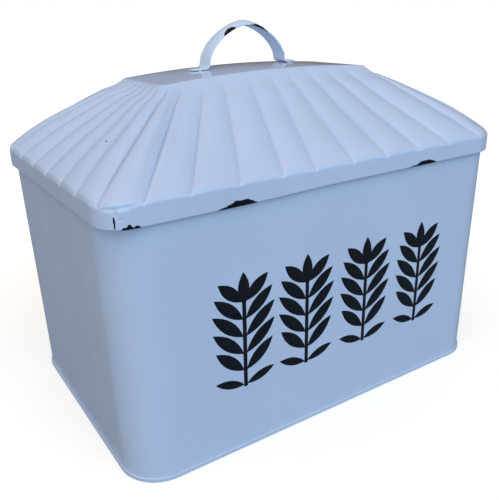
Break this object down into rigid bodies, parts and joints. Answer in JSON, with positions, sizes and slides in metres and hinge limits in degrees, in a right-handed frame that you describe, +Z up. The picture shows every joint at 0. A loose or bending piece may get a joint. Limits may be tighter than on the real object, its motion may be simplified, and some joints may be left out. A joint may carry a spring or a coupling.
{
  "type": "bread bin",
  "caption": "Tapered sheet-metal bread bin with rounded corners and a lift-off hipped lid, fluted all round, with a strap handle.",
  "frame": {"origin": "centre of the foot on the table, under the middle of the bin", "axes": "+X along the length to the right, +Y to the back, +Z up; the painted front faces -Y"},
  "size_m": [0.3376, 0.2296, 0.2846],
  "materials": {
    "white_enamel": "satin white paint on thin sheet steel, chipped to black at a few edges",
    "black_paint": "matt black printed paint",
    "weld_steel": "bare weld metal"
  },
  "bodies": {
    "bin": {"body_wall": "white_enamel", "side_seam": "white_enamel", "rim_curl": "white_enamel", "bottom_pan": "white_enamel", "bottom_seam": "white_enamel", "front_emblem": "black_paint"},
    "lid": {"lid_skirt": "white_enamel", "skirt_hem": "white_enamel", "lid_roof": "white_enamel", "lid_top_plate": "white_enamel", "handle_strap": "white_enamel", "foot_welds": "weld_steel"}
  },
  "joints": [
    {"name": "lid_lift", "type": "slide", "parent": "bin", "child": "lid", "axis": [0, 0, 1], "range_m": [0, 0.15]}
  ]
}
